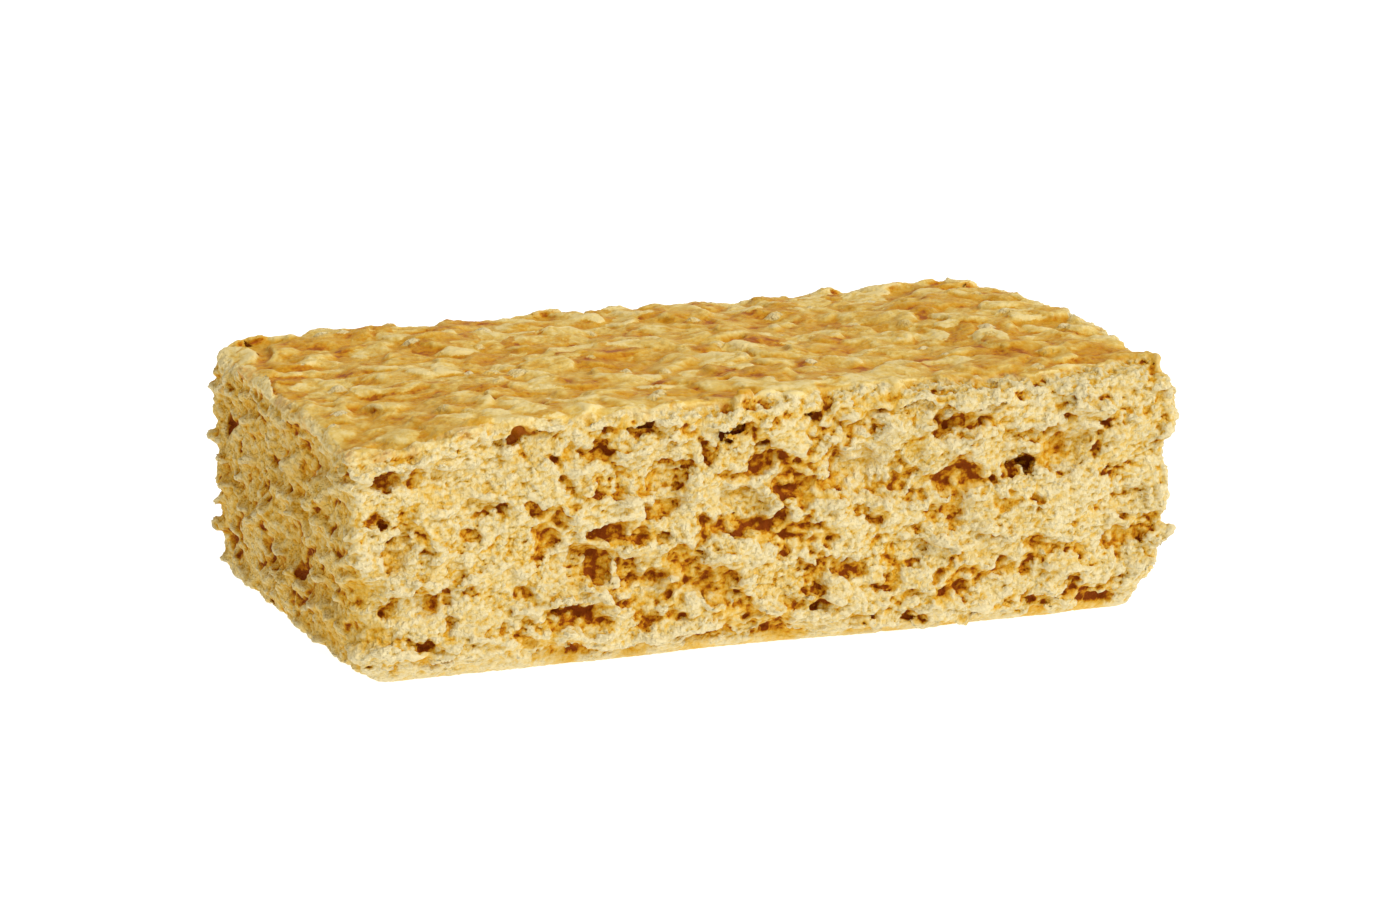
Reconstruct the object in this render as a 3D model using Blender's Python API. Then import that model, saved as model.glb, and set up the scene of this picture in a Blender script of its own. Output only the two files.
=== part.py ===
"""A granola bar: a baked block of rolled oats, cut square on its four sides.

+X runs along the bar, +Y from the front cut to the back cut and +Z up. The origin is the
middle of the bar's box, on the surface that it lies on. Everything is in metres.
"""

import math

import bmesh
import bpy
from mathutils import Vector, noise

MM = 0.001

# Driving sizes of the bar
LENGTH = 103 * MM
WIDTH = 60 * MM
HEIGHT = 29.7 * MM
CELL = 2.15 * MM  # side of the squares that the surface is made of

# Edges: all are rounded, and two corners have crumbled away further
EDGE_RADIUS = 2.3 * MM
EDGE_SPREAD = 0.7 * MM  # how far the radius wanders along an edge
EDGE_WANDER = 11 * MM  # how far along the edge one such change takes
WORN_CORNERS = (  # place of the corner, reach along X, Y and Z, extra radius
    (Vector((-51, -30, 8)) * MM, Vector((17, 17, 12)) * MM, 6.5 * MM),
    (Vector((51, -30, 0)) * MM, Vector((16, 14, 12)) * MM, 4.5 * MM),
    (Vector((51, 30, 6)) * MM, Vector((15, 15, 12)) * MM, 3.0 * MM),
    (Vector((-51, 30, 30)) * MM, Vector((14, 16, 10)) * MM, 2.6 * MM),
    (Vector((-51, 30, 8)) * MM, Vector((17, 17, 13)) * MM, 5.5 * MM),
)

# Top: it droops to the left end, more so at the front, and is fullest near the right end
DROOP = 2.6 * MM
DROOP_REACH = 21 * MM
DROOP_BACK_LOSS = 0.65  # share of the droop that is gone at the back
BACK_LOSS_RATE = 1.4  # how soon it is gone: at 1.0 only at the back edge itself
CROWN = 1.7 * MM
CROWN_PLACE = (46 * MM, 3 * MM)
CROWN_REACH = 30 * MM

# Underside: flat in the middle, rising to the rim, but for flakes baked on below the front
RIM_LIFT = 1.9 * MM
RIM_WIDTH = 6.5 * MM
RIM_EVEN = 0.8  # share of the lift that is there all round
RIM_UNEVEN = 0.5  # share of it that comes and goes
RIM_WANDER = 12 * MM
ARCH = 1.1 * MM  # more lift in the middle of the front
ARCH_MIDDLE = 1 * MM
ARCH_REACH = 22 * MM
UNDER_FLAKES = ((18.5 * MM, 9.5 * MM), (35 * MM, 4.5 * MM))  # place along X and half length
FLAKE_FLAT = 0.45  # share of the half length over which a flake lies fully down

# Relief of the torn crumb on the sides and of the smoother crust on top
CRUMB_RELIEF = ((9.5 * MM, 1.2 * MM), (4.8 * MM, 1.1 * MM))  # width of a lump and its height
CRUST_RELIEF = ((13 * MM, 0.55 * MM), (6.0 * MM, 0.35 * MM))
LAYER_STRETCH = Vector((0.75, 0.75, 1.35))  # lumps lie flat, as the flakes in them do

# Where the surface counts as the top or the underside: the outward direction's share of up or
# down at which that starts, and at which it is fully so
FLAT_START = 0.3
FLAT_FULL = 0.8
SIDE_START = 0.5  # where it counts as one of the cut faces

# Hollows where clumps came away with the knife: place along the face, height of the centre,
# half its length, half its height and how deep it goes, all in millimetres
FRONT_HOLLOWS = (
    (-12.9, 19.5, 3.0, 5.0, 1.5),
    (-4.4, 16.8, 3.4, 3.2, 1.2),
    (-16.2, 8.4, 2.6, 4.6, 1.2),
    (-45.6, 15.8, 2.8, 3.0, 1.3),
    (10.4, 20.4, 3.6, 3.0, 1.3),
    (29.6, 20.6, 5.2, 3.6, 1.8),
    (37.6, 21.0, 3.4, 2.6, 1.2),
    (18.0, 10.8, 3.0, 2.7, 1.1),
    (1.8, 5.6, 4.2, 3.2, 1.3),
    (-24.6, 11.4, 2.6, 2.4, 1.0),
    (-39.8, 24.0, 3.0, 2.4, 0.8),
    (45.0, 13.9, 2.6, 2.4, 0.9),
    (-4.0, 25.6, 3.0, 2.4, 0.9),
)
LEFT_HOLLOWS = (
    (21.0, 22.6, 3.4, 4.4, 1.4),
    (0.4, 21.6, 3.2, 5.2, 1.6),
    (-9.0, 18.0, 3.0, 5.0, 1.4),
    (9.6, 16.4, 3.0, 4.6, 1.0),
    (-3.8, 10.6, 5.4, 2.4, 0.9),
    (19.4, 5.2, 3.0, 3.0, 1.0),
    (28.0, 12.5, 4.0, 3.2, 1.1),
)
BACK_HOLLOWS = (
    (-37.0, 18.5, 3.6, 4.0, 1.3),
    (-22.0, 9.5, 4.2, 2.8, 1.2),
    (-9.5, 21.0, 3.2, 3.4, 1.3),
    (6.5, 12.5, 4.6, 3.4, 1.5),
    (19.5, 22.5, 3.0, 2.6, 1.0),
    (31.5, 9.0, 3.2, 3.6, 1.3),
    (43.0, 19.0, 3.0, 3.4, 1.1),
)
RIGHT_HOLLOWS = (
    (-17.5, 17.0, 3.4, 4.0, 1.2),
    (-4.5, 9.5, 4.4, 2.8, 1.1),
    (9.0, 19.5, 3.6, 4.2, 1.4),
    (21.5, 12.0, 3.0, 3.2, 1.0),
)
HOLLOW_FLOOR = 0.2  # share of a hollow's half size over which it is at its deepest

# The crust stands proud of the crumb at the right end, as a lip over a shallow undercut
LIP_HEIGHT = 24.2 * MM
LIP_THICKNESS = 3.4 * MM
LIP_OUT = 1.9 * MM
LIP_MIDDLE = -24 * MM
LIP_REACH = 17 * MM

CRUMB_COLOUR = (0.74, 0.55, 0.27, 1.0)
CRUMB_ROUGHNESS = 0.8


def fade(t):
    """0 below 0, 1 above 1 and smooth in between."""
    t = min(1.0, max(0.0, t))
    return t * t * (3 - 2 * t)


def bump(distance):
    """1 at the middle, falling smoothly to 0 at a distance of 1."""
    return fade(1 - distance)


def lumps(place, relief):
    """Height of the relief at a place, from smooth lumps of several widths."""
    stretched = place * LAYER_STRETCH
    return sum(height * noise.noise(stretched / width) for width, height in relief)


def clear_scene():
    for obj in list(bpy.data.objects):
        bpy.data.objects.remove(obj)


def gridded_block():
    """A block of the bar's overall size, its faces divided into squares of about CELL."""
    block = bmesh.new()
    bmesh.ops.create_cube(block, size=1)
    bmesh.ops.translate(block, verts=block.verts, vec=(0, 0, 0.5))
    bmesh.ops.scale(block, verts=block.verts, vec=(LENGTH, WIDTH, HEIGHT))
    for axis, side in enumerate((LENGTH, WIDTH, HEIGHT)):
        along = [
            edge
            for edge in block.edges
            if abs(edge.verts[0].co[axis] - edge.verts[1].co[axis]) > side / 2
        ]
        cuts = round(side / CELL) - 1
        bmesh.ops.subdivide_edges(block, edges=along, cuts=cuts, use_grid_fill=True)
    return block


def edge_radius(place):
    """Radius of the rounded edges near a place, larger at the worn corners."""
    radius = EDGE_RADIUS + EDGE_SPREAD * noise.noise(place / EDGE_WANDER)
    for corner, reach, extra in WORN_CORNERS:
        away = place - corner
        scaled = Vector((away.x / reach.x, away.y / reach.y, away.z / reach.z))
        radius += extra * bump(scaled.length)
    return radius


def rounded(place):
    """The place on the block with rounded edges, and the direction that faces outwards there."""
    radius = edge_radius(place)
    low = Vector((-LENGTH / 2 + radius, -WIDTH / 2 + radius, radius))
    high = Vector((LENGTH / 2 - radius, WIDTH / 2 - radius, HEIGHT - radius))
    core = Vector(min(h, max(l, c)) for c, l, h in zip(place, low, high))
    outward = (place - core).normalized()
    return core + radius * outward, outward


def top_change(x, y):
    """How far the top lies above or below the even height."""
    towards_left = fade((DROOP_REACH - (x + LENGTH / 2)) / DROOP_REACH)
    towards_front = 1 - DROOP_BACK_LOSS * fade((y + WIDTH / 2) / WIDTH * BACK_LOSS_RATE)
    crown_away = math.hypot(x - CROWN_PLACE[0], y - CROWN_PLACE[1]) / CROWN_REACH
    return CROWN * bump(crown_away) - DROOP * towards_left * towards_front


def rim_lift(x, y):
    """How far the underside lies above the surface that the bar rests on."""
    near_rim = fade(1 - min(LENGTH / 2 - abs(x), WIDTH / 2 - abs(y)) / RIM_WIDTH)
    wander = noise.noise(Vector((x, y, 0)) / RIM_WANDER)
    lift = RIM_LIFT * (RIM_EVEN + RIM_UNEVEN * wander) * near_rim
    if y < 0:
        lift += ARCH * bump(abs(x - ARCH_MIDDLE) / ARCH_REACH) * near_rim
        for middle, half_length in UNDER_FLAKES:
            lift *= 1 - bump(abs(x - middle) / half_length - FLAKE_FLAT)
    return lift


def hollow_depth(along, up, hollows):
    """Depth below the face at a place on it, the deepest of the hollows that reach there."""
    depths = []
    for middle, middle_up, half_length, half_height, depth in hollows:
        away = math.hypot((along / MM - middle) / half_length, (up / MM - middle_up) / half_height)
        depths.append(depth * bump(away - HOLLOW_FLOOR))
    return max(depths) * MM


def inward_at(place, outward):
    """How far the cut faces are hollowed at a place, measured inwards."""
    depth = 0.0
    if outward.y < -SIDE_START:
        depth += hollow_depth(place.x, place.z, FRONT_HOLLOWS) * -outward.y
    if outward.y > SIDE_START:
        depth += hollow_depth(place.x, place.z, BACK_HOLLOWS) * outward.y
    if outward.x < -SIDE_START:
        depth += hollow_depth(place.y, place.z, LEFT_HOLLOWS) * -outward.x
    if outward.x > SIDE_START:
        depth += hollow_depth(place.y, place.z, RIGHT_HOLLOWS) * outward.x
    return depth


def lip_at(place, outward):
    """How far the crust's lip stands out at the right end."""
    if outward.x <= 0:
        return 0.0
    above = bump(abs(place.z - LIP_HEIGHT) / LIP_THICKNESS)
    along = bump(abs(place.y - LIP_MIDDLE) / LIP_REACH)
    return LIP_OUT * above * along * outward.x


def baked(place):
    """Where a place on the plain block lies on the baked and cut bar."""
    spot, outward = rounded(place)
    facing_up = fade((outward.z - FLAT_START) / (FLAT_FULL - FLAT_START))
    facing_down = fade((-outward.z - FLAT_START) / (FLAT_FULL - FLAT_START))
    crumb = lumps(place, CRUMB_RELIEF) * (1 - facing_up) * (1 - facing_down)
    crust = lumps(place, CRUST_RELIEF) * facing_up
    out = crumb + crust + lip_at(spot, outward) - inward_at(spot, outward)
    share_up = spot.z / HEIGHT
    spot = spot + outward * out
    spot.z += top_change(place.x, place.y) * share_up
    spot.z += rim_lift(place.x, place.y) * (1 - share_up)
    spot.z = max(0.0, spot.z)
    return spot


def centre(block):
    """Moves the bar so that its box is centred on the origin in X and Y."""
    middle = Vector((0, 0, 0))
    for axis in (0, 1):
        places = [vert.co[axis] for vert in block.verts]
        middle[axis] = (min(places) + max(places)) / 2
    bmesh.ops.translate(block, verts=block.verts, vec=-middle)


def crumb_material():
    material = bpy.data.materials.new("baked_oats")
    material.use_nodes = True
    shader = material.node_tree.nodes["Principled BSDF"]
    shader.inputs["Base Color"].default_value = CRUMB_COLOUR
    shader.inputs["Roughness"].default_value = CRUMB_ROUGHNESS
    shader.inputs["Metallic"].default_value = 0.0
    return material


def make_bar():
    block = gridded_block()
    for vert in block.verts:
        vert.co = baked(vert.co.copy())
    centre(block)
    mesh = bpy.data.meshes.new("granola_bar")
    block.to_mesh(mesh)
    block.free()
    mesh.shade_smooth()
    mesh.materials.append(crumb_material())
    bar = bpy.data.objects.new("granola_bar", mesh)
    collection = bpy.data.collections.new("granola_bar")
    bpy.context.scene.collection.children.link(collection)
    collection.objects.link(bar)
    return bar


def main():
    clear_scene()
    make_bar()


main()
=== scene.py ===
"""Looks of the granola bar: baked oat flakes, a torn pale crumb and a glazed golden crust.

Everything is in metres, in the frame of the CAD model. +X runs along the bar, +Y from the
front cut to the back cut and +Z up.
"""

import math
import random

import bmesh
import bpy
import numpy as np
from mathutils import Matrix, Vector, noise
from mathutils.bvhtree import BVHTree


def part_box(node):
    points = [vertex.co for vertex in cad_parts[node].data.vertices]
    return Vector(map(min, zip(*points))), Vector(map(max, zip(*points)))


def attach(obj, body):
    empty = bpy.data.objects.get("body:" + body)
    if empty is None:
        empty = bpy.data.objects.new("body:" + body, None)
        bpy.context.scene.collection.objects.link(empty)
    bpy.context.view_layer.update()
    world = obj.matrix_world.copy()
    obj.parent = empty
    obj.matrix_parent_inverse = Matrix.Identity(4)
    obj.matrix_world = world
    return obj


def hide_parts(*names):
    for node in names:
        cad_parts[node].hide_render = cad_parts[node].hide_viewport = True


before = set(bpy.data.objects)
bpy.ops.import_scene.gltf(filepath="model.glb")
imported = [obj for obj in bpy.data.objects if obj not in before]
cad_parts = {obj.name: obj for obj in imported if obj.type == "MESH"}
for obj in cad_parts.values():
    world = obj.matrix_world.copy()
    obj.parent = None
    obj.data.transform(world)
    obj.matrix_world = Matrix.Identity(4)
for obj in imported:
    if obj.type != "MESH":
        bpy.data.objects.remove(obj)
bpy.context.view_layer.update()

MM = 0.001
NODE = "granola_bar"
LOW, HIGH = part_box(NODE)

# How finely the skin is meshed: first with its flakes, then with its pores and grain
FLAKE_VOXEL = 0.28 * MM
SKIN_VOXEL = 0.22 * MM
CORE_VOXEL = 0.8 * MM  # the smoother core that the oats are laid on
MEAN_VOXEL = 1.2 * MM  # the mean surface, which tells hollows from lumps

# How far apart flakes and crumbs are laid, and their half sizes, from the least to the most
CRUST_SPACING = 3.2 * MM
CRUST_FLAKE = (1.6 * MM, 4.4 * MM)
CRUMBS_SPACING = 9.0 * MM
SIDE_SPACING = 3.8 * MM
SIDE_FLAKE = (1.6 * MM, 3.4 * MM)
FLAKE_THICKNESS = (0.3 * MM, 0.48 * MM)
CRUMB_SIZE = (0.35 * MM, 1.0 * MM)
HANDFUL = 40  # small shapes made in one go
SHAPE_FACES = 80  # faces of one flake or clump

# The torn crumb is rounded clumps at uneven depths. For each size of clump: its width, how far
# the clumps vary in depth, how far each one bulges, and its weight in where the basins lie
CLUMP_STRETCH = np.array((0.82, 0.82, 1.4))
CLUMPS = (
    (4.4 * MM, 0.50 * MM, 0.60 * MM, 1.0),
    (2.1 * MM, 0.32 * MM, 0.45 * MM, 0.7),
    (1.1 * MM, 0.15 * MM, 0.22 * MM, 0.3),
)
# Basins between the clumps
BASIN_START = -0.12
BASIN_EDGE = 0.07
BASIN_DEPTH = 0.5 * MM
BASIN_SLOPE = 0.9 * MM
# Domes of the clumps and finer grain on them, from large to small: width and height
DOMES = ((1.5 * MM, 0.14 * MM), (0.95 * MM, 0.26 * MM))
GRAINS = ((0.7 * MM, 0.28 * MM), (0.42 * MM, 0.15 * MM))
# Larger holes of the front cut, in mm: place along it, height, half length, half height, depth
FRONT_HOLES = (
    (30.4, 19.7, 1.5, 1.1, 4.4),
    (34.5, 21.4, 8.0, 1.1, 1.4),
    (28.4, 22.8, 1.9, 1.5, 1.6),
    (-12.9, 20.3, 2.2, 3.0, 2.0),
    (-4.4, 17.7, 2.6, 2.0, 1.6),
    (-15.9, 9.3, 1.6, 1.4, 1.8),
    (-16.5, 7.0, 1.3, 1.5, 1.6),
    (-25.5, 15.9, 1.7, 0.7, 1.8),
    (-21.1, 15.5, 1.4, 0.8, 1.8),
    (-24.7, 11.8, 1.2, 0.9, 1.8),
    (-45.9, 17.8, 1.3, 0.9, 1.8),
    (-46.2, 15.5, 0.9, 1.1, 1.8),
    (-32.0, 13.1, 0.8, 0.8, 1.5),
    (-43.8, 21.2, 1.5, 0.6, 1.7),
    (-40.0, 24.4, 1.5, 0.7, 1.1),
    (44.9, 14.3, 1.5, 1.1, 1.6),
    (18.0, 11.6, 1.7, 0.9, 1.4),
    (37.0, 20.4, 1.6, 0.6, 1.5),
    (31.1, 27.0, 0.9, 0.8, 1.2),
    (-47.2, 6.8, 0.9, 0.8, 1.3),
    (-42.3, 9.5, 0.8, 0.7, 1.3),
    (-39.3, 8.1, 1.0, 0.7, 1.3),
    (10.4, 20.8, 1.6, 1.6, 1.7),
    (0.0, 22.5, 0.6, 0.7, 1.6),
    (-7.1, 23.1, 0.7, 0.6, 1.5),
    (0.1, 16.8, 1.1, 0.5, 1.6),
    (-5.0, 25.6, 1.5, 0.4, 1.1),
    (-17.9, 28.2, 1.2, 0.8, 1.2),
    (1.8, 6.4, 1.8, 1.2, 1.2),
    (24.1, 24.6, 1.0, 0.9, 1.2),
    (-9.9, 9.8, 1.0, 0.8, 1.3),
    (-36.6, 16.4, 1.8, 0.4, 1.1),
    (-8.0, 3.2, 1.0, 0.7, 1.1),
)
# The same for the left cut, where the place runs from front to back
LEFT_HOLES = (
    (20.9, 24.3, 1.3, 1.6, 1.8),
    (8.5, 25.0, 1.3, 1.5, 1.7),
    (0.6, 23.0, 1.0, 1.7, 1.8),
    (-8.9, 20.2, 1.1, 1.8, 1.8),
    (9.0, 18.3, 0.8, 2.4, 1.2),
    (-3.6, 22.1, 0.8, 2.2, 1.3),
    (19.2, 3.9, 1.2, 1.0, 1.3),
    (-3.7, 11.6, 2.0, 0.6, 1.2),
    (-29.3, 23.1, 0.9, 1.4, 1.4),
)
# Browned flakes low on the front, in mm: place along it and half length
BROWNED = ((18.0, 7.5), (35.0, 4.0), (-27.0, 3.0))

# The finished skin is cut into slices across the bar, with crust apart from crumb. On a slice's
# flat map each side has a cell: from left to right and from bottom to top, by the side's number
SLICES = 7
END_SLICE = 7 * MM
CRUST_CELLS = {5: (0, 1, 0, 1)}
CRUMB_CELLS = {
    0: (0.75, 1, 0, 1),
    1: (0.75, 1, 0, 1),
    2: (0, 0.32, 0, 0.5),
    3: (0, 0.32, 0.5, 1),
    4: (0.32, 0.54, 0, 1),
    5: (0.54, 0.75, 0, 1),
}
LONG_BORDER = 150  # a border with more vertices than this goes round the slice
INNER = 25 * MM  # how far from the ends of the bar the slices' inner points are at least
# On the flat maps, covered faces and the walls inside have strips of their own at the right
OPEN_STRIP = 0.8
COVERED_STRIP = (0.82, 0.14)
WALL_STRIP = (0.975, 0.02)


def new_mesh(name, built):
    """A mesh from a bmesh, which is then freed."""
    mesh = bpy.data.meshes.new(name)
    built.to_mesh(mesh)
    built.free()
    return mesh


def new_piece(name, mesh):
    piece = bpy.data.objects.new(name, mesh)
    bpy.context.scene.collection.objects.link(piece)
    return piece


def places(mesh):
    """The places of a mesh's vertices, as rows."""
    found = np.empty(len(mesh.vertices) * 3, np.float32)
    mesh.vertices.foreach_get("co", found)
    return found.reshape(-1, 3).astype(np.float64)


def normals(mesh):
    found = np.empty(len(mesh.vertices) * 3, np.float32)
    mesh.vertex_normals.foreach_get("vector", found)
    return found.reshape(-1, 3).astype(np.float64)


def put(mesh, rows):
    mesh.vertices.foreach_set("co", rows.astype(np.float32).ravel())
    mesh.update()


def fade(t):
    """0 below 0, 1 above 1 and smooth in between."""
    t = np.clip(t, 0.0, 1.0)
    return t * t * (3 - 2 * t)


def waves(rows, width, seed=0.0):
    """Smooth noise from -1 to 1 at each row, in lumps about as wide as width."""
    scaled = rows / width + seed
    return np.array([noise.noise(row) for row in scaled.tolist()])


def cells(rows, width, seed=0.0):
    """How far each row is from the middle of its own angular grain: 0 to about 1."""
    scaled = rows / width + seed
    found = [noise.voronoi(row, distance_metric="MANHATTAN")[0] for row in scaled.tolist()]
    return np.array([distances[0] for distances in found]) * 0.75


def clumps(rows, width, seed=0.0):
    """Each row lies in a clump about as wide as width. Gives a height from 0 to 1 that leans
    a little over the clump, how far the row is from the clump's middle in widths, and a tone
    from -1 to 1 that the clump has all over."""
    scaled = rows / width + seed
    found = [noise.voronoi(row) for row in scaled.tolist()]
    middles = np.array([near[0] for _, near in found])
    away = np.array([distances[0] for distances, _ in found])
    share = np.modf(np.abs(np.sin(middles @ (12.9898, 78.233, 37.719)) * 43.758))[0]
    lean = np.sin(middles * (91.7, 57.3, 73.1)) * 0.35
    leaning = np.clip(share + ((scaled - middles) * lean).sum(1), 0, 1)
    return leaning, away, np.modf(share * 7.31)[0] * 2 - 1


def facing(lean):
    """1 where the way out leans far along some axis, 0 where it hardly does."""
    return fade((lean - 0.4) / 0.3)


def jumbled(rows, width, most):
    """The rows moved about by smooth noise, which makes any outline drawn on them ragged."""
    shift = np.stack([waves(rows, width, seed) for seed in (3.7, 17.1, 41.9)], 1)
    return rows + most * shift


def skinned(mesh, voxel, smoothing=0):
    """One closed skin round everything in the mesh."""
    piece = new_piece("skin", mesh)
    remesh = piece.modifiers.new("skin", "REMESH")
    remesh.mode = "VOXEL"
    remesh.voxel_size = voxel
    if smoothing:
        smooth = piece.modifiers.new("smooth", "SMOOTH")
        smooth.factor = 0.5
        smooth.iterations = smoothing
    graph = bpy.context.evaluated_depsgraph_get()
    skin = bpy.data.meshes.new_from_object(piece.evaluated_get(graph))
    bpy.data.objects.remove(piece)
    return skin


def plain_solid():
    """The bar's solid with its vertices merged."""
    solid = bmesh.new()
    solid.from_mesh(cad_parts[NODE].data)
    bmesh.ops.remove_doubles(solid, verts=solid.verts, dist=1e-6)
    return solid


def add_flake(oats, matrix, half_sizes, chance):
    """An oat flake: an oval slab with blunt edges, creased along its middle and slightly curled."""
    made = bmesh.ops.create_icosphere(oats, subdivisions=2, radius=1)
    curl = chance.uniform(-0.22, 0.22)
    twist = chance.uniform(-0.25, 0.25)
    seed = chance.uniform(0, 90)
    length, width, thickness = half_sizes
    for vert in made["verts"]:
        x, y, z = vert.co
        ragged = 1 + 0.35 * noise.noise((x * 1.4 + seed, y * 1.4, 0))
        blunt = math.copysign(abs(z) ** 0.45, z)
        crease = 0.35 * thickness * math.exp(-((y / 0.25) ** 2)) * (z > 0)
        bend = curl * length * x * x + twist * width * x * y
        vert.co = (x * ragged * length, y * ragged * width, blunt * thickness + bend - crease)
    bmesh.ops.transform(oats, matrix=matrix, verts=made["verts"])


def add_clump(oats, matrix, half_sizes, chance):
    """A torn clump of crumb, wider than it is high."""
    made = bmesh.ops.create_icosphere(oats, subdivisions=2, radius=1)
    seed = chance.uniform(0, 90)
    for vert in made["verts"]:
        lump = 1 + 0.7 * noise.noise(vert.co * 1.3 + Vector((seed, 0, 0)))
        vert.co = vert.co * lump * Vector(half_sizes)
    bmesh.ops.transform(oats, matrix=matrix, verts=made["verts"])


def tilted(chance, most):
    """A turn that leans a flake by up to so many degrees, in any direction, after a free spin."""
    spin = Matrix.Rotation(chance.uniform(0, math.tau), 4, "Z")
    lean_x = Matrix.Rotation(math.radians(chance.uniform(-most, most)), 4, "X")
    lean_y = Matrix.Rotation(math.radians(chance.uniform(-most, most)), 4, "Y")
    return lean_x @ lean_y @ spin


def standing_on(direction):
    return direction.to_track_quat("Z", "Y").to_matrix().to_4x4()


def crust_spots(hull, spacing, chance):
    """Places scattered over the top, with the direction that faces out there."""
    x = LOW.x
    while x < HIGH.x:
        y = LOW.y
        while y < HIGH.y:
            above = Vector((x + chance.uniform(0, spacing), y + chance.uniform(0, spacing), 1))
            place, normal, _, _ = hull.ray_cast(above, Vector((0, 0, -1)))
            if place is not None and normal.z > 0.5:
                yield place, normal
            y += spacing
        x += spacing


def side_spots(hull, spacing, chance):
    """Places scattered over the four cut sides, with the direction that faces out there."""
    middle = (LOW + HIGH) / 2
    half = (HIGH - LOW) / 2
    for side in (Vector((1, 0, 0)), Vector((-1, 0, 0)), Vector((0, 1, 0)), Vector((0, -1, 0))):
        along = Vector((abs(side.y), abs(side.x), 0))
        reach = half.dot(along)
        steps = round(2 * reach / spacing)
        rows = round((HIGH.z - LOW.z) / spacing)
        for step in range(steps):
            for row in range(rows):
                shift = -reach + (step + chance.random()) * 2 * reach / steps
                height = (row + chance.random()) * HIGH.z / rows
                start = middle + side + along * shift
                start.z = height
                place, normal, _, _ = hull.ray_cast(start, -side)
                if place is not None and normal.dot(side) > 0.25:
                    yield place, normal


class Shape:
    """A flake or clump to be made: what makes it, its turn and place, and its half sizes."""

    def __init__(self, add, matrix, half_sizes):
        self.add = add
        self.matrix = matrix
        self.half_sizes = half_sizes


def crust_flake(place, normal, chance):
    length = chance.uniform(*CRUST_FLAKE)
    sizes = (length, length * chance.uniform(0.5, 0.85), chance.uniform(*FLAKE_THICKNESS))
    sunk = place - normal * chance.uniform(-0.05, 0.5) * MM
    turn = standing_on(normal) @ tilted(chance, 11)
    return Shape(add_flake, Matrix.Translation(sunk) @ turn, sizes)


def crust_crumb(place, normal, chance):
    size = chance.uniform(*CRUMB_SIZE)
    sunk = place + normal * chance.uniform(0.0, 0.35) * MM
    return Shape(add_clump, Matrix.Translation(sunk) @ tilted(chance, 30), (size, size, size * 0.7))


def side_flake(place, normal, chance):
    length = chance.uniform(*SIDE_FLAKE)
    thickness = chance.uniform(*FLAKE_THICKNESS) * 1.4
    sizes = (length, length * chance.uniform(0.55, 0.9), thickness)
    sunk = place - normal * (length * 0.75 - chance.uniform(-0.8, 0.4) * MM)
    return Shape(add_flake, Matrix.Translation(sunk) @ tilted(chance, 24), sizes)


def scattered_oats(hull):
    """The flakes and crumbs of the crust and the torn flakes of the sides."""
    chance = random.Random(11)
    oats = [crust_crumb(*spot, chance) for spot in crust_spots(hull, CRUMBS_SPACING, chance)]
    oats += [crust_flake(*spot, chance) for spot in crust_spots(hull, CRUST_SPACING, chance)]
    oats += [side_flake(*spot, chance) for spot in side_spots(hull, SIDE_SPACING, chance)]
    return oats


def gathered(oats):
    """All the flakes and clumps in one bmesh, made a handful at a time so that it stays quick."""
    chance = random.Random(12)
    whole = bmesh.new()
    for start in range(0, len(oats), HANDFUL):
        handful = bmesh.new()
        for oat in oats[start : start + HANDFUL]:
            oat.add(handful, oat.matrix, oat.half_sizes, chance)
        whole.from_mesh(new_mesh("handful", handful))
    return whole


def nearest_on(hull, rows):
    """For each row: the nearest place on the hull, how far outside the row lies, and which way is
    out, which leans sideways near the rim of the underside."""
    found = [hull.find_nearest(row) for row in rows.tolist()]
    ground = np.array([hit[0] for hit in found])
    outward = np.array([hit[1] for hit in found])
    past = (np.abs(ground[:, :2]) - (HIGH.x, HIGH.y)) / (5 * MM) + 1
    sideways = np.sign(ground[:, :2]) * fade(past) * 1.6
    outward[:, :2] += sideways * fade(-outward[:, 2:] * 3 - 0.9)
    outward /= np.linalg.norm(outward, axis=1, keepdims=True)
    height = ((rows - ground) * outward).sum(1)
    return ground, height, outward


def holes(along, up, listed):
    """Depth of the larger holes at each place of a side, in metres."""
    depth = np.zeros(len(along))
    for a, u, half_length, half_height, deep in listed:
        away = np.hypot((along / MM - a) / half_length, (up / MM - u) / half_height)
        depth = np.maximum(depth, deep * MM * fade((1.15 - away) / 0.45))
    return depth


def crumb_share(ground, outward):
    """1 on the torn crumb, 0 on the crust and in the middle of the underside."""
    to_rim = np.minimum(HIGH.x - np.abs(ground[:, 0]), HIGH.y - np.abs(ground[:, 1]))
    base = fade((-outward[:, 2] - 0.8) / 0.1) * fade((to_rim - 4 * MM) / (3 * MM))
    return (1 - crust_share(ground, outward)) * (1 - base)


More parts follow.
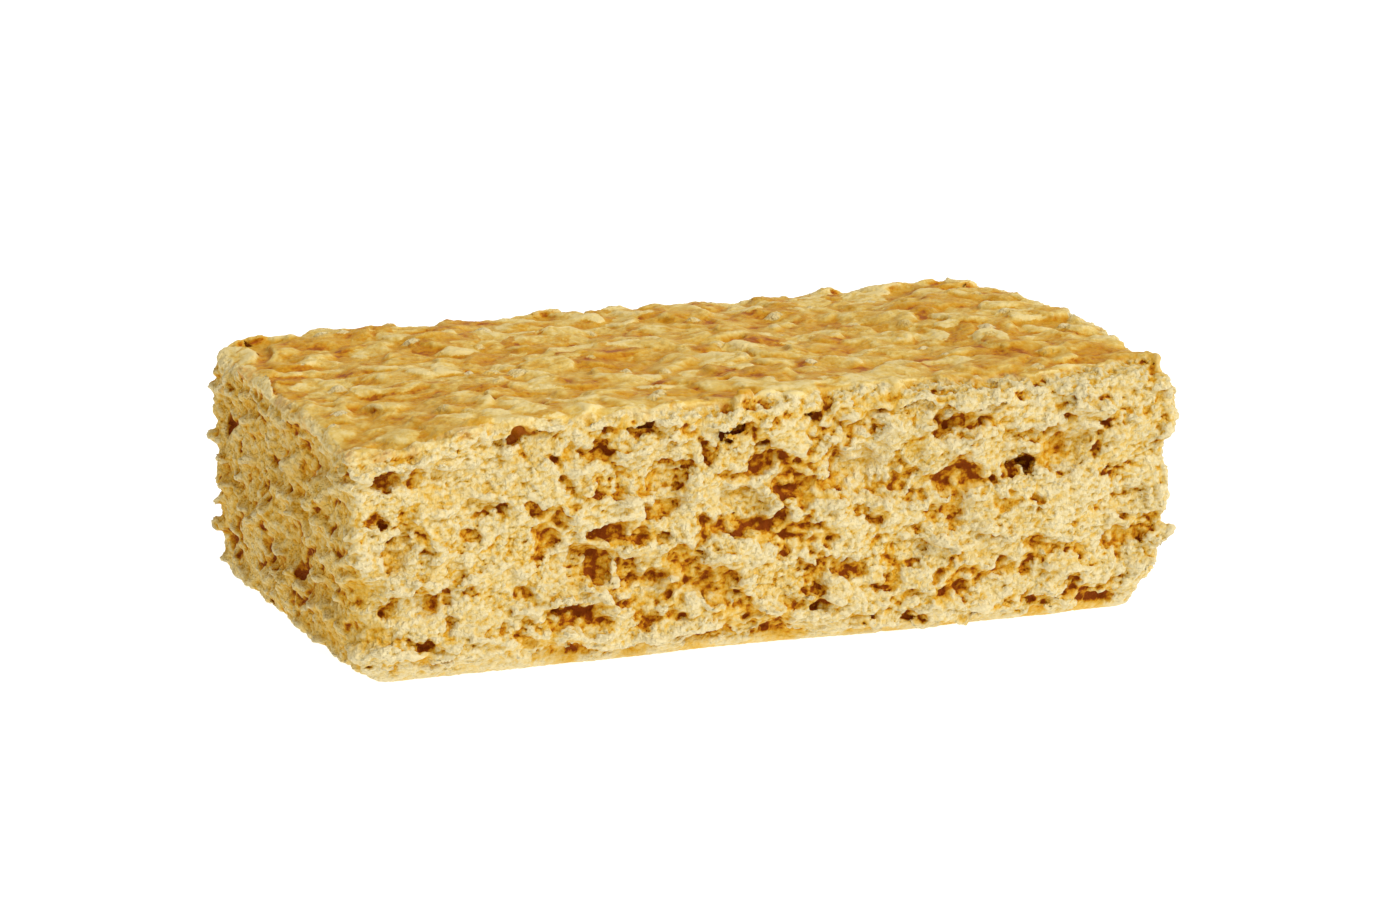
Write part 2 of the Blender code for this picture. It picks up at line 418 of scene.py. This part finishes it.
def torn_depth(ground, outward):
    """What the torn crumb is like at each place of the hull: how deep it lies, 1 where it is a
    basin, 1 on the brink of one, and the tone of its clumps from -1 to 1."""
    ragged = jumbled(ground, 3.0 * MM, 0.9 * MM)
    ragged = jumbled(ragged, 1.2 * MM, 0.65 * MM)
    ragged = jumbled(ragged, 0.6 * MM, 0.35 * MM)
    score = 0.35 * waves(ragged * CLUMP_STRETCH, 5.0 * MM, 4.4) + 0.15 * waves(ground, 14 * MM)
    depth = np.zeros(len(ground))
    tone = np.zeros(len(ground))
    for seed, (width, uneven, bulge, weight) in enumerate(CLUMPS):
        share, away, own_tone = clumps(ragged * CLUMP_STRETCH, width, 9.3 * seed)
        tone += (0.5 - 0.1 * seed) * own_tone
        depth += uneven * share + bulge * away**2
        score += weight * (away - 0.55 + 0.25 * (share - 0.5))
    score += 0.23 * fade(1.1 - np.abs(ground[:, 0] + 4 * MM) / (32 * MM)) - 0.17
    score -= 0.08 * facing(np.abs(outward[:, 0]))
    brink = fade(1 - np.abs(score - BASIN_START + 0.05) / 0.12)
    basin = fade((score - BASIN_START) / BASIN_EDGE)
    deeper = fade((score - BASIN_START) / 0.6)
    depth += basin * (BASIN_DEPTH + BASIN_SLOPE * deeper)
    basin *= 0.45 + 0.55 * deeper
    front = facing(-outward[:, 1])
    left = facing(-outward[:, 0])
    torn = jumbled(ragged, 2.2 * MM, 1.5 * MM)
    hole = front * holes(torn[:, 0], torn[:, 2], FRONT_HOLES)
    hole = np.maximum(hole, left * holes(torn[:, 1], torn[:, 2], LEFT_HOLES))
    depth = np.maximum(depth, 0.3 * depth + 0.75 * hole)
    depth *= 1 - 0.4 * facing(np.abs(outward[:, 0]))
    return depth * crumb_share(ground, outward), basin, brink, tone


def domes(rows, sizes, seed=0.0):
    """Height of convex lumps of several sizes, with sharp creases between them."""
    ragged = jumbled(rows, 1.0 * MM, 0.3 * MM) * CLUMP_STRETCH
    height = np.zeros(len(rows))
    for width, tall in sizes:
        seed += 3.1
        height += tall * (0.6 - 1.6 * cells(ragged, width, seed) ** 2)
    return height


def fused_oats(oats, solid):
    """The solid with its oats, as one skin, and a tree of the shapes that it was fused from."""
    whole = gathered(oats)
    core = skinned(new_mesh("solid", solid), CORE_VOXEL)
    outward = normals(core)
    facing_up = fade(outward[:, 2] * 2 - 0.6)
    facing_down = fade(-outward[:, 2] * 2 - 0.6)
    inset = 1.0 * MM * (1 - facing_up) * (1 - facing_down) + 0.2 * MM * facing_up
    put(core, places(core) - outward * inset[:, None])
    whole.from_mesh(core)
    owners = BVHTree.FromBMesh(whole)
    return skinned(new_mesh("oats", whole), FLAKE_VOXEL), owners


def owner_values(owners, oats, rows):
    """What each row's own flake or crumb gives it: a tone that it has all over, how far along,
    across and up it the row lies in half sizes, 1 where the core is bare, and 1 on a crumb."""
    owner = np.array([owners.find_nearest(row)[2] for row in rows.tolist()]) // SHAPE_FACES
    bare = owner >= len(oats)
    owner[bare] = len(oats)
    tones = np.append(np.random.default_rng(5).uniform(-1, 1, len(oats)), 0)
    back = [oat.matrix.inverted() for oat in oats] + [Matrix.Identity(4)]
    sizes = [oat.half_sizes for oat in oats] + [(1, 1, 1)]
    turned = np.einsum("nij,nj->ni", np.array(back)[owner, :3, :3], rows)
    local = (turned + np.array(back)[owner, :3, 3]) / np.array(sizes)[owner]
    is_crumb = np.array([oat.add is add_clump for oat in oats] + [False])[owner]
    return tones[owner], local, bare.astype(float), is_crumb.astype(float)


def overhung(mesh, rows, outward):
    """1 for each row that has some other part of the mesh right above it, 0 in the open."""
    shape = bmesh.new()
    shape.from_mesh(mesh)
    tree = BVHTree.FromBMesh(shape)
    shape.free()
    starts = (rows + outward * 0.2 * MM).tolist()
    hits = [tree.ray_cast(start, way, 6 * MM)[2] for start, way in zip(starts, outward.tolist())]
    return np.array([hit is not None for hit in hits], float)


def smoothed(mesh, rows, rounds):
    """The rows moved to the mean of their neighbours, so many times."""
    ends = np.empty(len(mesh.edges) * 2, np.int32)
    mesh.edges.foreach_get("vertices", ends)
    near, far = ends.reshape(-1, 2).T
    both, other = np.concatenate((near, far)), np.concatenate((far, near))
    count = np.maximum(np.bincount(both, minlength=len(rows)), 1)
    mean = rows
    for _ in range(rounds):
        mean = np.stack([np.bincount(both, axis[other], len(rows)) / count for axis in mean.T], 1)
    return mean


def chewed(rows, ground):
    """How far the low rim is raised at each place, which leaves it uneven."""
    past = np.maximum(np.abs(ground[:, 0]) - HIGH.x, np.abs(ground[:, 1]) - HIGH.y)
    rim = fade((past + 6 * MM) / (4 * MM)) * fade(1 - rows[:, 2] / (3.5 * MM))
    uneven = 0.45 + 1.3 * waves(rows, 3.2 * MM, 8.8) + 0.6 * waves(rows, 1.2 * MM)
    return 1.5 * MM * rim * fade(uneven)


def browned_share(rows, outward):
    """1 on the flakes that have browned, low on the front."""
    share = np.zeros(len(rows))
    for x, half_length in BROWNED:
        share = np.maximum(share, fade((1.2 - np.abs(rows[:, 0] / MM - x) / half_length) / 0.4))
    low = fade(1.2 - rows[:, 2] / (2.2 * MM) + 0.8 * waves(rows, 2.0 * MM, 6.1))
    return share * low * fade(-2 * outward[:, 1])


def torn_back(fused, hull):
    """The fused oats with proud ones pressed in and the cut sides torn back, as one new skin."""
    rows = places(fused)
    ground, height, outward = nearest_on(hull, rows)
    crust = crust_share(ground, outward)
    proud = np.maximum(height - (0.15 + 0.45 * crust) * MM, 0)
    depth = torn_depth(ground, outward)[0]
    sunk = depth + proud * (0.8 - 0.3 * crust + 0.15 * facing(np.abs(outward[:, 0])))
    put(fused, rows - outward * sunk[:, None])
    return skinned(fused, FLAKE_VOXEL)


def domed(torn, hull):
    """The torn skin with a dome raised on each clump, meshed more finely."""
    rows = places(torn)
    ground, _, outward = nearest_on(hull, rows)
    lift = domes(rows, DOMES) - 0.25 * MM * fade((-outward[:, 2] - 0.2) / 0.4)
    lift *= crumb_share(ground, outward)
    put(torn, rows + normals(torn) * lift[:, None])
    return skinned(torn, SKIN_VOXEL)


def evened(skin, rows, glaze):
    """The rows with glazed crust made smoother and thorns drawn in."""
    even = smoothed(skin, rows, 3)
    evener = smoothed(skin, even, 12)
    peak = fade(((rows - evener) * normals(skin)).sum(1) / (0.2 * MM) - 0.9)
    rows = rows + (even - rows) * glaze[:, None]
    return rows + (evener - rows) * peak[:, None]


def grained(rows, brink):
    """How far grain stands up at each row: in rougher and smoother patches, fully on a brink."""
    rough = 0.6 + 0.4 * fade(0.5 + 1.6 * waves(rows, 2.6 * MM, 5.5))
    rough = np.maximum(rough, brink)
    return domes(rows, GRAINS, 20.0) * rough


def wrinkled(rows):
    """How far the crust wrinkles up at each row."""
    ragged = jumbled(rows, 1.0 * MM, 0.3 * MM)
    return 0.10 * MM * waves(ragged, 1.6 * MM) + 0.07 * MM * waves(ragged, 0.7 * MM, 3.3)


def below_mean(skin, rows):
    """How far each row lies below the mean surface round it."""
    mean = skinned(skin.copy(), MEAN_VOXEL, smoothing=8)
    shape = bmesh.new()
    shape.from_mesh(mean)
    tree = BVHTree.FromBMesh(shape)
    shape.free()
    return -nearest_on(tree, rows)[1]


def main_skin():
    """The whole bar as one skin: oats fused round the solid, then torn, domed and grained."""
    solid = plain_solid()
    hull = BVHTree.FromBMesh(solid)
    oats = scattered_oats(hull)
    fused, owners = fused_oats(oats, solid)
    skin = domed(torn_back(fused, hull), hull)

    rows = places(skin)
    ground, _, outward = nearest_on(hull, rows)
    crust = crust_share(ground, outward)
    under = 1 - np.maximum(crust, crumb_share(ground, outward))
    depth, basin, brink, clump_tone = torn_depth(ground, outward)
    tone, local, bare, loose = owner_values(owners, oats, rows)
    # 1 on the left end, which faces away from the key light: the material paints it darker and more
    # amber as painted shade, and its grain is kept lower
    toasted = facing(-outward[:, 0])
    lip = fade((0.985 - outward[:, 2]) / 0.08)
    glaze = crust * (1 - 0.7 * lip)
    rows = evened(skin, rows, glaze)
    put(skin, rows)
    grain = grained(rows, brink) * (1 - 0.6 * basin) * (1 - 0.6 * under) * (1 - 0.5 * toasted)
    lift = grain * (1 - 0.75 * glaze) + wrinkled(rows) * crust
    rows = rows + normals(skin) * lift[:, None]
    rows[:, 2] = np.maximum(rows[:, 2], 0.0) + chewed(rows, ground)
    put(skin, rows)

    covered = overhung(skin, rows, outward)
    # A soft mask of it is painted darker by the material: painted shadow under overhangs
    shade = smoothed(skin, np.stack((covered, covered, covered), 1), 4)[:, 0]
    turn = local * (0.5, 2.5, 0) + np.stack((tone, tone, tone), 1) * 40
    values = {
        # Depth below the mean surface: hollows painted darker and more amber, partly the syrup's own
        # colour in them, partly painted shade
        "below": below_mean(skin, rows) / MM,
        # Creases painted darker as painted shade, ridges painted lighter as painted highlight
        "dip": ((smoothed(skin, rows, 5) - rows) * normals(skin)).sum(1) / MM,
        # Depth of the torn holes: deep holes painted darker, partly the crumb's own amber, partly
        # painted shade
        "pore": fade((depth - 0.5 * MM) / (1.5 * MM)) + 3 * fade((depth - 2.5 * MM) / (0.6 * MM)),
        # Painted shadow under overhangs, darker in both colour ramps
        "hidden": np.maximum(shade, 0.7 * covered),
        "basin": basin,
        "brink": brink,
        "tone": tone,
        "clump_tone": clump_tone,
        "streak": waves(turn, 0.35) + 0.5 * waves(turn, 0.18),
        "bare": bare,
        "crust": crust * (1 - loose) * (1 - 0.45 * lip),
        "toasted": toasted,
        "browned": browned_share(rows, outward),
    }
    return Skin(skin, rows, outward, crust, covered, values)


class Skin:
    """The finished skin: its faces, and for each vertex its place, which way is out there, how far
    it is crust, whether something lies right above it, and the values that the material reads."""

    def __init__(self, mesh, rows, outward, crust, covered, values):
        corners = np.empty(len(mesh.loops), np.int32)
        mesh.loops.foreach_get("vertex_index", corners)
        self.quads = corners.reshape(-1, 4)
        self.rows = rows
        self.outward = outward
        self.crust = crust
        self.covered = covered
        self.values = values


def slice_numbers(x):
    """Which slice of the bar each place along it is in, and where the slices start and end."""
    ends = (LOW.x + END_SLICE, HIGH.x - END_SLICE)
    cuts = np.linspace(*ends, SLICES - 1)
    return np.searchsorted(cuts, x), np.concatenate(((LOW.x,), cuts, (HIGH.x,)))


def sides_of(outward):
    """Each row's side of the bar, as a number: 0 left, 1 right, 2 front, 3 back, 4 underside, 5 top."""
    axis = np.abs(outward * (1, 1, 1.2)).argmax(1)
    return 2 * axis + (outward[np.arange(len(axis)), axis] > 0)


def cut_out(skin, chosen, layout, start, end, name):
    """The chosen faces of the skin as a mesh of their own, with the stored values, and a flat map
    that shows each side of the slice in its own cell, with covered faces in a strip of their own."""
    quads = skin.quads[chosen]
    used, corners = np.unique(quads, return_inverse=True)
    mesh = bpy.data.meshes.new(name)
    mesh.vertices.add(len(used))
    mesh.loops.add(quads.size)
    mesh.polygons.add(len(quads))
    mesh.vertices.foreach_set("co", skin.rows[used].astype(np.float32).ravel())
    mesh.loops.foreach_set("vertex_index", corners.ravel().astype(np.int32))
    mesh.polygons.foreach_set("loop_start", np.arange(0, quads.size, 4, dtype=np.int32))
    mesh.update(calc_edges=True)
    for value, found in skin.values.items():
        set_values(mesh, value, found[used])
    layer = mesh.attributes.new("inward", "FLOAT_VECTOR", "POINT")
    layer.data.foreach_set("vector", (-skin.outward[used]).astype(np.float32).ravel())

    place = skin.rows[quads]
    share = (place - (start - 0.5 * MM, LOW.y - MM, -MM))
    share /= (end - start + MM, HIGH.y - LOW.y + 2 * MM, HIGH.z + 2 * MM)
    side = sides_of(skin.outward[quads].mean(1))
    axes = np.array(((1, 2), (1, 2), (0, 2), (0, 2), (0, 1), (0, 1)))[side]
    flat = np.take_along_axis(share, axes[:, None, :].repeat(4, 1), 2)
    flat = np.clip(flat, 0, 1) * 0.98 + 0.01
    cell = np.array([layout.get(number, (0, 1, 0, 1)) for number in range(6)])[side][:, None, :]
    flat = cell[:, :, 0::2] + flat * (cell[:, :, 1::2] - cell[:, :, 0::2])
    under = (skin.covered[quads].mean(1) > 0.4)[:, None]
    left, wide = COVERED_STRIP
    flat[:, :, 0] = np.where(under, left + wide * flat[:, :, 0], OPEN_STRIP * flat[:, :, 0])
    layer = mesh.uv_layers.new(name="OFBake")
    layer.uv.foreach_set("vector", flat.astype(np.float32).ravel())
    return mesh


def rings(edges):
    """The vertices of some edges, in groups that hang together."""
    found = []
    waiting = {}
    for edge in edges:
        for vert in edge.verts:
            waiting.setdefault(vert, []).append(edge.other_vert(vert))
    while waiting:
        vert, others = waiting.popitem()
        ring = [vert]
        while others:
            other = others.pop()
            if other in waiting:
                others += waiting.pop(other)
                ring.append(other)
        found.append(ring)
    return found


def closed(mesh, inner):
    """Closes a cut mesh: its long borders are drawn in to an inner point, the small ones to a
    point just under the skin."""
    built = bmesh.new()
    built.from_mesh(mesh)
    flat = built.loops.layers.uv["OFBake"]
    inward = built.verts.layers.float_vector["inward"]
    inside = built.faces.layers.float.new("inside")
    skin_faces = set(built.faces)
    border = [edge for edge in built.edges if edge.is_boundary]
    for edge in border:
        edge.smooth = False
    made = bmesh.ops.extrude_edge_only(built, edges=border)["geom"]
    new_verts = {item for item in made if isinstance(item, bmesh.types.BMVert)}
    new_edges = (item for item in made if isinstance(item, bmesh.types.BMEdge))
    for ring in rings(edge for edge in new_edges if new_verts.issuperset(edge.verts)):
        place = inner
        if len(ring) < LONG_BORDER:
            place = sum((vert.co + vert[inward] * 0.4 * MM for vert in ring), Vector()) / len(ring)
        bmesh.ops.pointmerge(built, verts=ring, merge_co=place)
    for face in built.faces:
        if face not in skin_faces:
            face[inside] = 1.0
            for corner in face.loops:
                _, y, z = corner.vert.co
                across = WALL_STRIP[0] + WALL_STRIP[1] * z / HIGH.z
                corner[flat].uv = (across, (y - LOW.y) / (HIGH.y - LOW.y))
    built.to_mesh(mesh)
    built.free()
    mesh.attributes.remove(mesh.attributes["inward"])


def cut_slices(skin, material):
    """Makes the bar's pieces: closed slices along it, each as crust and crumb."""
    kinds = (("crust", CRUST_CELLS, "baked_crust"), ("crumb", CRUMB_CELLS, "oat_crumb"))
    centre = skin.rows[skin.quads].mean(1)
    is_crust = skin.crust[skin.quads].mean(1) > 0.5
    number, cuts = slice_numbers(centre[:, 0])
    for index in range(SLICES):
        start, end = cuts[index], cuts[index + 1]
        middle = (start + end) / 2
        inner = Vector((min(max(middle, LOW.x + INNER), HIGH.x - INNER), 0, HIGH.z / 2))
        for kind, layout, slot in kinds:
            chosen = np.flatnonzero((number == index) & (is_crust == (kind == "crust")))
            mesh = cut_out(skin, chosen, layout, start, end, f"{kind}_{index + 1}")
            closed(mesh, inner)
            mesh.shade_smooth()
            mesh.materials.append(material)
            piece = new_piece(f"{kind}_slice_{index + 1}", mesh)
            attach(piece, "root")
            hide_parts(NODE)


def crust_share(ground, outward):
    """1 on the baked crust and 0 on the torn crumb, which climbs over the front rim and right end."""
    x, y = ground[:, 0], ground[:, 1]
    climb_front = (2.0 + 4.0 * fade((x + 40 * MM) / (80 * MM))) * MM
    ragged = 2.2 * MM * waves(ground, 4.5 * MM, 2.2) + 1.5 * MM * waves(ground, 1.6 * MM, 7.7)
    inner = np.minimum(y - LOW.y - climb_front, HIGH.x - x - 3.5 * MM) + ragged
    inner = np.minimum(inner, HIGH.y - y - 1.5 * MM + ragged)
    inner = np.minimum(inner, x - LOW.x - 1.4 * MM + ragged)
    return fade(inner / (0.8 * MM) + 0.5) * fade((outward[:, 2] - 0.7) / 0.15)


def set_values(mesh, name, values):
    """Stores a value for each vertex, for the materials to read."""
    layer = mesh.attributes.new(name, "FLOAT", "POINT")
    layer.data.foreach_set("value", values.astype(np.float32))


def floor():
    built = bmesh.new()
    bmesh.ops.create_grid(built, x_segments=1, y_segments=1, size=3)
    piece = new_piece("floor", new_mesh("floor", built))
    material = bpy.data.materials.new("pale_floor")
    material.use_nodes = True
    shader = material.node_tree.nodes["Principled BSDF"]
    shader.inputs["Base Color"].default_value = (0.45, 0.45, 0.45, 1)
    shader.inputs["Roughness"].default_value = 0.9
    shader.inputs["Specular IOR Level"].default_value = 0.0
    shader.inputs["Emission Color"].default_value = (1, 1, 1, 1)
    shader.inputs["Emission Strength"].default_value = 0.92
    piece.data.materials.append(material)


def lights():
    world = bpy.data.worlds.new("studio")
    world.use_nodes = True
    tree = world.node_tree
    background = tree.nodes["Background"]
    background.inputs["Color"].default_value = (1, 0.925, 0.8, 1)
    sideways = tree.nodes.new("ShaderNodeSeparateXYZ")
    tree.links.new(tree.nodes.new("ShaderNodeTexCoord").outputs["Generated"], sideways.inputs[0])
    strength = maths(tree, "MULTIPLY_ADD", sideways.outputs["X"], 0.2, 0.6)
    tree.links.new(strength, background.inputs["Strength"])
    bpy.context.scene.world = world
    key = bpy.data.lights.new("key", "SUN")
    key.energy = 1.7
    key.angle = math.radians(30)
    lamp = bpy.data.objects.new("key", key)
    towards = Vector((0.42, -0.62, 0.66))
    lamp.rotation_euler = (-towards).to_track_quat("-Z", "Y").to_euler()
    bpy.context.scene.collection.objects.link(lamp)
    bpy.context.scene.view_settings.view_transform = "Standard"


def camera():
    rise = math.radians(13.07)
    turn = math.radians(21.77)
    ahead = Vector((math.sin(turn) * math.cos(rise), math.cos(turn) * math.cos(rise), -math.sin(rise)))
    lens = bpy.data.cameras.new("camera")
    lens.lens = 120.9
    lens.sensor_width = 36
    lens.shift_x = -0.0007
    lens.shift_y = 0.0174
    lens.clip_start = 0.01
    eye = bpy.data.objects.new("camera", lens)
    eye.location = Vector((0, 0, 0.0139)) - ahead * 0.55
    eye.rotation_euler = ahead.to_track_quat("-Z", "Y").to_euler()
    bpy.context.scene.collection.objects.link(eye)
    bpy.context.scene.camera = eye


def joined(tree, value, socket):
    """Feeds a socket from another one, or sets it to a plain value."""
    if isinstance(value, bpy.types.NodeSocket):
        tree.links.new(value, socket)
    else:
        socket.default_value = value


def maths(tree, operation, first, second, third=0.0):
    node = tree.nodes.new("ShaderNodeMath")
    node.operation = operation
    joined(tree, first, node.inputs[0])
    joined(tree, second, node.inputs[1])
    joined(tree, third, node.inputs[2])
    return node.outputs[0]


def plus(tree, first, second):
    return maths(tree, "ADD", first, second)


def times(tree, first, second):
    return maths(tree, "MULTIPLY", first, second)


def stored(tree, name):
    """A value stored at the vertices."""
    node = tree.nodes.new("ShaderNodeAttribute")
    node.attribute_name = name
    return node.outputs["Fac"]


def clouds(tree, where, width, detail=2.0, roughness=0.5):
    """Smooth noise round 0, in lumps about as wide as width."""
    node = tree.nodes.new("ShaderNodeTexNoise")
    node.inputs["Scale"].default_value = 1 / width
    node.inputs["Detail"].default_value = detail
    node.inputs["Roughness"].default_value = roughness
    tree.links.new(where, node.inputs["Vector"])
    return plus(tree, node.outputs["Fac"], -0.5)


def creased(tree, where, width):
    """0 at the middles of small grains, rising to the creases between them."""
    node = tree.nodes.new("ShaderNodeTexVoronoi")
    node.inputs["Scale"].default_value = 1 / width
    node.inputs["Detail"].default_value = 1
    node.inputs["Roughness"].default_value = 0.6
    tree.links.new(where, node.inputs["Vector"])
    return plus(tree, node.outputs["Distance"], -0.45)


def bent(tree, where, width, most):
    """The place moved about by smooth noise."""
    node = tree.nodes.new("ShaderNodeTexNoise")
    node.inputs["Scale"].default_value = 1 / width
    tree.links.new(where, node.inputs["Vector"])
    shift = tree.nodes.new("ShaderNodeVectorMath")
    shift.operation = "MULTIPLY_ADD"
    tree.links.new(node.outputs["Color"], shift.inputs[0])
    shift.inputs[1].default_value = (2 * most, 2 * most, 2 * most)
    tree.links.new(where, shift.inputs[2])
    return shift.outputs["Vector"]


def ramp(tree, value, stops):
    node = tree.nodes.new("ShaderNodeValToRGB")
    tree.links.new(value, node.inputs["Fac"])
    colours = node.color_ramp.elements
    while len(colours) < len(stops):
        colours.new(0.5)
    for colour, (place, rgb) in zip(colours, stops):
        colour.position = place
        colour.color = (*rgb, 1)
    return node.outputs["Color"]


def mixed(tree, share, first, second):
    node = tree.nodes.new("ShaderNodeMix")
    node.data_type = "RGBA"
    joined(tree, share, node.inputs["Factor"])
    joined(tree, first, node.inputs["A"])
    joined(tree, second, node.inputs["B"])
    return node.outputs["Result"]


# Colours from dry and proud to deep and dark. The dark end is partly the oats' own syrupy amber and
# brown, partly painted shade: the material reaches it in hollows, creases, holes and basins, under
# overhangs and on the left end
CRUMB_COLOURS = (
    (0.0, (0.84, 0.72, 0.42)),
    (0.25, (0.81, 0.64, 0.285)),
    (0.42, (0.79, 0.56, 0.17)),
    (0.58, (0.75, 0.465, 0.075)),
    (0.72, (0.70, 0.36, 0.018)),
    (0.86, (0.55, 0.20, 0.003)),
    (1.0, (0.27, 0.055, 0.002)),
)
CRUST_COLOURS = (
    (0.0, (0.85, 0.69, 0.31)),
    (0.22, (0.76, 0.545, 0.145)),
    (0.42, (0.68, 0.41, 0.063)),
    (0.6, (0.63, 0.32, 0.018)),
    (0.8, (0.55, 0.22, 0.005)),
    (1.0, (0.38, 0.10, 0.003)),
)


def added(tree, total, terms):
    """The total with each of the terms added to it: a value times its weight."""
    for value, weight in terms:
        total = maths(tree, "MULTIPLY_ADD", value, weight, total)
    return total


def baked_oats():
    """The one material of all pieces. The further a value rises, the darker its ramp makes it."""
    material = bpy.data.materials.new("baked_oats")
    material.use_nodes = True
    tree = material.node_tree
    shader = tree.nodes["Principled BSDF"]
    where = tree.nodes.new("ShaderNodeTexCoord").outputs["Object"]
    names = "below dip pore hidden basin brink tone clump_tone streak bare crust toasted browned inside"
    at = {name: stored(tree, name) for name in names.split()}
    crust = maths(tree, "MULTIPLY_ADD", at["crust"], times(tree, at["inside"], -1.0), at["crust"])
    patch = clouds(tree, where, 7 * MM, detail=2)
    fine = clouds(tree, where, 0.4 * MM, detail=3, roughness=0.65)
    grain = creased(tree, bent(tree, where, 0.6 * MM, 0.35 * MM), 0.8 * MM)

    granular = maths(tree, "MULTIPLY_ADD", at["basin"], -0.5, 1.0)
    sharp = maths(tree, "MULTIPLY_ADD", at["toasted"], -0.45, 1.0)
    # How dark the crumb is: its own tone from grain, patches, clumps and browned flakes, plus painted
    # shade in hollows, creases, holes and basins, under overhangs and on the left end, and a little
    # lighter on the basins' brinks
    crumb_tone_and_shade = added(tree, 0.19, (
        (maths(tree, "MINIMUM", at["below"], 1.1), 0.22),
        (at["dip"], 1.8),
        (at["toasted"], 0.27),
        (at["hidden"], 0.45),
        (at["pore"], 0.08),
        (at["basin"], 0.36),
        (at["brink"], -0.06),
        (at["browned"], 0.45),
        (at["inside"], 0.6),
        (fine, times(tree, sharp, 0.52)),
        (grain, times(tree, times(tree, granular, sharp), 0.14)),
        (patch, 0.3),
        (clouds(tree, where, 2.4 * MM), 0.3),
        (at["clump_tone"], 0.13),
    ))
    spots = plus(tree, clouds(tree, where, 3.4 * MM, detail=3), -0.06)
    # How dark the crust is: the glaze's own tone, specks and flake tones, plus painted shade in
    # hollows, creases and under raised flakes, and painted highlight on ridges
    glazed = added(tree, 0.39, (
        (maths(tree, "MAXIMUM", maths(tree, "MINIMUM", at["below"], 0.5), -0.2), 0.5),
        (at["dip"], 2.2),
        (at["hidden"], 0.5),
        (fine, 0.28),
        (at["streak"], 0.13),
        (patch, 0.4),
        (at["bare"], 0.06),
        (clouds(tree, where, 2.0 * MM, detail=3), 0.7),
        (maths(tree, "MAXIMUM", spots, 0.0), 2.6),
        (at["tone"], 0.3),
    ))
    crumb = ramp(tree, crumb_tone_and_shade, CRUMB_COLOURS)
    golden = ramp(tree, glazed, CRUST_COLOURS)
    tree.links.new(mixed(tree, crust, crumb, golden), shader.inputs["Base Color"])
    shader.inputs["Specular IOR Level"].default_value = 0.1
    rough = maths(tree, "MULTIPLY_ADD", crust, -0.3, 0.72)
    tree.links.new(rough, shader.inputs["Roughness"])

    bump = tree.nodes.new("ShaderNodeBump")
    bump.inputs["Strength"].default_value = 1.0
    bump.inputs["Distance"].default_value = 0.3 * MM
    height = maths(tree, "MULTIPLY_ADD", grain, times(tree, granular, -1.0), fine)
    height = times(tree, height, maths(tree, "MULTIPLY_ADD", crust, -0.7, 1.0))
    height = maths(tree, "MULTIPLY_ADD", at["streak"], times(tree, crust, -0.04), height)
    tree.links.new(height, bump.inputs["Height"])
    tree.links.new(bump.outputs["Normal"], shader.inputs["Normal"])
    return material


cut_slices(main_skin(), baked_oats())
floor()
lights()
camera()
